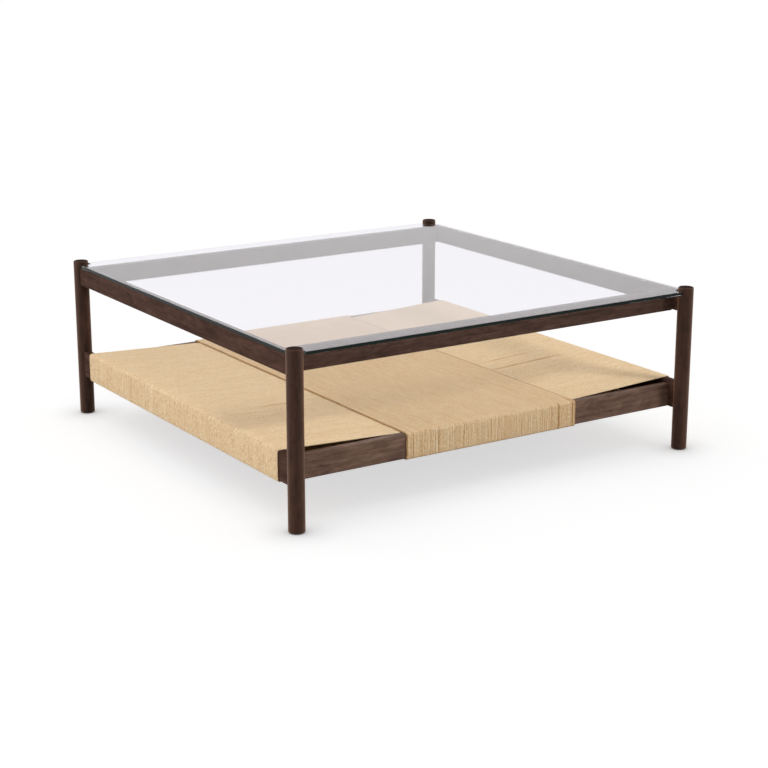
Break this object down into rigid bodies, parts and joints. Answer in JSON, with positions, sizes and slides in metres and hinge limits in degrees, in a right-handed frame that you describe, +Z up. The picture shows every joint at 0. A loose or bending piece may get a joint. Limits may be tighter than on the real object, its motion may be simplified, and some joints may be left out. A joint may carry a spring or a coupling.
{
  "type": "coffee table",
  "caption": "Low square table: round legs, aprons and lower rails, a paper-cord shelf woven round the rails, and a loose glass top, notched round the legs, that lifts off.",
  "frame": {"origin": "on the floor under the middle of the table", "axes": "+Z up, +X to the right along the front, +Y from the front to the back"},
  "size_m": [1.138, 1.138, 0.41],
  "materials": {
    "stained_wood": "dark brown stain, satin lacquer",
    "paper_cord": "natural twisted paper cord",
    "float_glass": "clear float glass, polished green edge",
    "clear_vinyl": "clear soft pad",
    "nylon": "dark moulded nylon",
    "beech": "bare beech dowel"
  },
  "bodies": {
    "base": {"apron_back": "stained_wood", "apron_front": "stained_wood", "apron_left": "stained_wood", "apron_right": "stained_wood", "cord_front_to_back": "paper_cord", "cord_side_to_side": "paper_cord", "dowel_back_apron_left_1": "beech", "dowel_back_apron_left_2": "beech", "dowel_back_apron_right_1": "beech", "dowel_back_apron_right_2": "beech", "dowel_back_lower_rail_left_1": "beech", "dowel_back_lower_rail_left_2": "beech", "dowel_back_lower_rail_right_1": "beech", "dowel_back_lower_rail_right_2": "beech", "dowel_front_apron_left_1": "beech", "dowel_front_apron_left_2": "beech", "dowel_front_apron_right_1": "beech", "dowel_front_apron_right_2": "beech", "dowel_front_lower_rail_left_1": "beech", "dowel_front_lower_rail_left_2": "beech", "dowel_front_lower_rail_right_1": "beech", "dowel_front_lower_rail_right_2": "beech", "dowel_leg_back_left_apron_1": "beech", "dowel_leg_back_left_apron_2": "beech", "dowel_leg_back_left_lower_rail_1": "beech", "dowel_leg_back_left_lower_rail_2": "beech", "dowel_leg_back_right_apron_1": "beech", "dowel_leg_back_right_apron_2": "beech", "dowel_leg_back_right_lower_rail_1": "beech", "dowel_leg_back_right_lower_rail_2": "beech", "dowel_leg_front_left_apron_1": "beech", "dowel_leg_front_left_apron_2": "beech", "dowel_leg_front_left_lower_rail_1": "beech", "dowel_leg_front_left_lower_rail_2": "beech", "dowel_leg_front_right_apron_1": "beech", "dowel_leg_front_right_apron_2": "beech", "dowel_leg_front_right_lower_rail_1": "beech", "dowel_leg_front_right_lower_rail_2": "beech", "floor_glide_back_left": "nylon", "floor_glide_back_right": "nylon", "floor_glide_front_left": "nylon", "floor_glide_front_right": "nylon", "glass_pad_back_left": "clear_vinyl", "glass_pad_back_right": "clear_vinyl", "glass_pad_front_left": "clear_vinyl", "glass_pad_front_right": "clear_vinyl", "glass_pad_left_back": "clear_vinyl", "glass_pad_left_front": "clear_vinyl", "glass_pad_right_back": "clear_vinyl", "glass_pad_right_front": "clear_vinyl", "leg_back_left": "stained_wood", "leg_back_right": "stained_wood", "leg_front_left": "stained_wood", "leg_front_right": "stained_wood", "lower_rail_back": "stained_wood", "lower_rail_front": "stained_wood", "lower_rail_left": "stained_wood", "lower_rail_right": "stained_wood"},
    "top": {"glass_top": "float_glass"}
  },
  "joints": [
    {"name": "glass_lift", "type": "slide", "parent": "base", "child": "top", "axis": [0, 0, 1], "range_m": [0, 0.06]}
  ]
}
